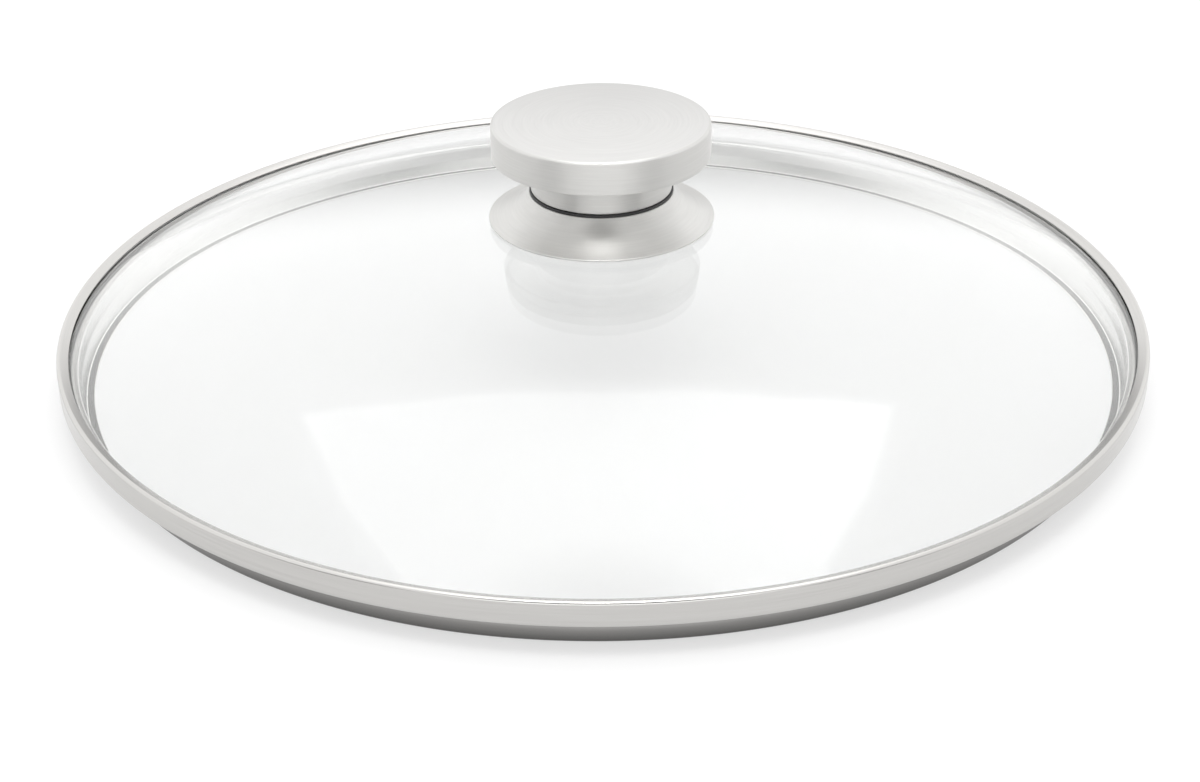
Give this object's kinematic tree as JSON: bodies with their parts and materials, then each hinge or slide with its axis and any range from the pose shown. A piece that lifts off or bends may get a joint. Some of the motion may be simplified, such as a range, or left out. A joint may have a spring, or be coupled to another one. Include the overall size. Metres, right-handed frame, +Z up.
{
  "type": "glass pan lid",
  "caption": "Round domed glass pan lid with a stainless steel rim and skirt, and a stainless steel disc knob on a black insulating ring and a flared foot.",
  "frame": {"origin": "centre of the ring on which the skirt's lower face stands", "axes": "+Z up along the lid's axis of revolution, from the skirt to the knob; the lid is round, so +X and +Y are any two directions across it"},
  "size_m": [0.29, 0.29, 0.0678],
  "materials": {
    "clear_glass": "clear polished tempered glass",
    "rim_steel": "satin polished stainless steel, brushed round the rim",
    "knob_steel": "fine brushed stainless steel, turned grain",
    "fastener_steel": "plain stainless steel",
    "black_insulator": "matte black heat-resistant plastic",
    "silicone": "matte grey silicone"
  },
  "bodies": {
    "root": {"glass_dome": "clear_glass", "rim_band": "rim_steel", "rim_gasket": "silicone", "knob_cap": "knob_steel", "knob_underplate": "knob_steel", "knob_boss": "fastener_steel", "knob_ring": "black_insulator", "knob_foot": "knob_steel", "foot_gasket": "silicone", "hole_grommet": "silicone", "inner_gasket": "silicone", "cup_washer": "fastener_steel", "lock_washer": "fastener_steel", "knob_screw": "fastener_steel"}
  },
  "joints": []
}
